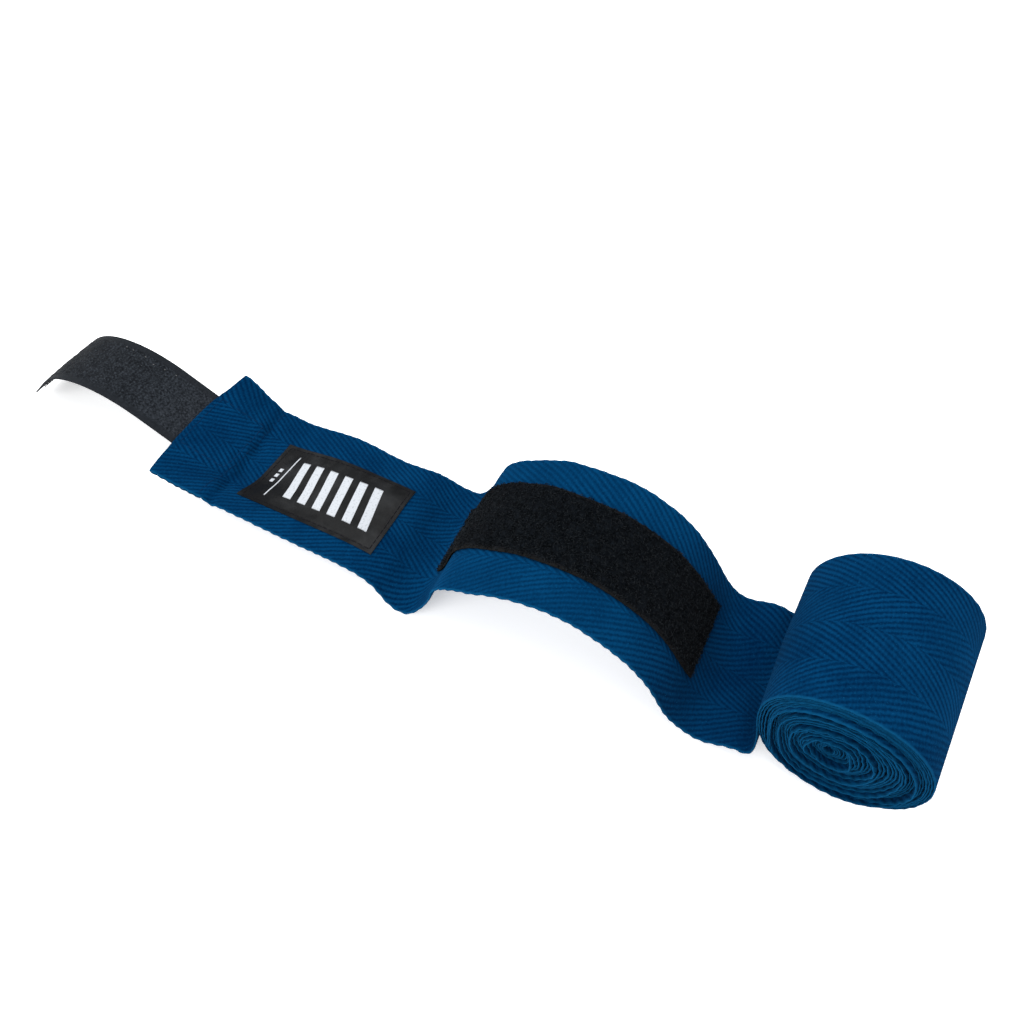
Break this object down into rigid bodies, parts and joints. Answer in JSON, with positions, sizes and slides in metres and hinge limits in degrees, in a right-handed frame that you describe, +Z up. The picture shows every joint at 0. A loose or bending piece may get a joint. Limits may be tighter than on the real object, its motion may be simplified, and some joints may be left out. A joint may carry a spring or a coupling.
{
  "type": "hand wrap",
  "caption": "Elastic boxing hand wrap partly unrolled from its roll, with a loop patch, sewn label, folded hem, hook strap and a thumb loop inside the roll.",
  "frame": {"origin": "bottom centre of the bounding box, on the surface the wrap lies on", "axes": "+X along the tape from the hook strap to the roll, +Y across the tape, +Z up"},
  "size_m": [0.3338, 0.055, 0.0455],
  "materials": {
    "blue_elastic_tape": "matte herringbone weave",
    "black_loop_pile": "fuzzy loop pile",
    "black_hook_tape": "rough woven tape with moulded hooks",
    "black_satin": "satin",
    "black_thread": "matte thread",
    "blue_thread": "matte thread",
    "blue_webbing": "matte narrow webbing"
  },
  "bodies": {
    "roll": {"tape_roll": "blue_elastic_tape", "thumb_loop": "blue_webbing"},
    "lead": {"tape_lead": "blue_elastic_tape"},
    "leg_right": {"tape_leg_right": "blue_elastic_tape", "loop_patch_leg_right": "black_loop_pile", "patch_seam_near_leg_right": "black_thread", "patch_seam_far_leg_right": "black_thread"},
    "shoulder_right": {"tape_shoulder_right": "blue_elastic_tape", "loop_patch_shoulder_right": "black_loop_pile", "patch_seam_near_shoulder_right": "black_thread", "patch_seam_far_shoulder_right": "black_thread"},
    "crown": {"tape_crown": "blue_elastic_tape", "loop_patch_crown": "black_loop_pile", "patch_seam_near_crown": "black_thread", "patch_seam_far_crown": "black_thread"},
    "shoulder_left": {"tape_shoulder_left": "blue_elastic_tape", "loop_patch_shoulder_left": "black_loop_pile", "patch_seam_near_shoulder_left": "black_thread", "patch_seam_far_shoulder_left": "black_thread"},
    "leg_left": {"tape_leg_left": "blue_elastic_tape", "loop_patch_leg_left": "black_loop_pile", "patch_seam_near_leg_left": "black_thread", "patch_seam_far_leg_left": "black_thread"},
    "valley": {"tape_valley": "blue_elastic_tape"},
    "label_panel": {"tape_label_panel": "blue_elastic_tape", "size_label": "black_satin", "label_stitching": "black_thread"},
    "hem": {"tape_hem": "blue_elastic_tape", "hem_seam": "blue_thread", "hook_strap_sewn_end": "black_hook_tape", "strap_box_stitching": "blue_thread"},
    "strap_root": {"hook_strap_root": "black_hook_tape"},
    "strap_middle": {"hook_strap_middle": "black_hook_tape"},
    "strap_tip": {"hook_strap_tip": "black_hook_tape"}
  },
  "joints": [
    {"name": "lead_lift", "type": "hinge", "parent": "roll", "child": "lead", "pos_m": [0.11677, -0.00247, 0.00032], "axis": [0, 1, 0], "range_deg": [0, 35]},
    {"name": "arch_flatten", "type": "hinge", "parent": "lead", "child": "leg_right", "pos_m": [0.10327, -0.00247, 0.00032], "axis": [0, -1, 0], "range_deg": [0, 53.8]},
    {"name": "arch_shoulder_right", "type": "hinge", "parent": "leg_right", "child": "shoulder_right", "pos_m": [0.08744, -0.00247, 0.02195], "axis": [0, 1, 0], "range_deg": [0, 23]},
    {"name": "arch_crown", "type": "hinge", "parent": "shoulder_right", "child": "crown", "pos_m": [0.06889, -0.00247, 0.03301], "axis": [0, 1, 0], "range_deg": [0, 27.8]},
    {"name": "arch_shoulder_left", "type": "hinge", "parent": "crown", "child": "shoulder_left", "pos_m": [0.04492, -0.00247, 0.03426], "axis": [0, 1, 0], "range_deg": [0, 28.7]},
    {"name": "arch_leg_left", "type": "hinge", "parent": "shoulder_left", "child": "leg_left", "pos_m": [0.02474, -0.00247, 0.02455], "axis": [0, 1, 0], "range_deg": [0, 39.3]},
    {"name": "arch_valley", "type": "hinge", "parent": "leg_left", "child": "valley", "pos_m": [0.01344, -0.00247, 0.00032], "axis": [0, -1, 0], "range_deg": [0, 65]},
    {"name": "label_panel_lift", "type": "hinge", "parent": "valley", "child": "label_panel", "pos_m": [0.00344, -0.00247, 0.00032], "axis": [0, 1, 0], "range_deg": [0, 60]},
    {"name": "hem_lift", "type": "hinge", "parent": "label_panel", "child": "hem", "pos_m": [-0.06442, -0.00247, 0.00047], "axis": [0, 1, 0], "range_deg": [0, 45]},
    {"name": "strap_lift", "type": "hinge", "parent": "hem", "child": "strap_root", "pos_m": [-0.09518, -0.00247, 0.00754], "axis": [0, 1, 0], "range_deg": [0, 60]},
    {"name": "strap_straighten", "type": "hinge", "parent": "strap_root", "child": "strap_middle", "pos_m": [-0.12116, -0.00247, 0.02254], "axis": [0, 1, 0], "range_deg": [0, 34]},
    {"name": "strap_tip_straighten", "type": "hinge", "parent": "strap_middle", "child": "strap_tip", "pos_m": [-0.14709, -0.00247, 0.02073], "axis": [0, 1, 0], "range_deg": [0, 37]}
  ],
  "couplings": [
    {"joint": "arch_shoulder_right", "follows": "arch_flatten", "ratio": 0.42751},
    {"joint": "arch_crown", "follows": "arch_flatten", "ratio": 0.51673},
    {"joint": "arch_shoulder_left", "follows": "arch_flatten", "ratio": 0.53346},
    {"joint": "arch_leg_left", "follows": "arch_flatten", "ratio": 0.73048},
    {"joint": "arch_valley", "follows": "arch_flatten", "ratio": 1.2082},
    {"joint": "strap_tip_straighten", "follows": "strap_straighten", "ratio": 1.0882}
  ]
}
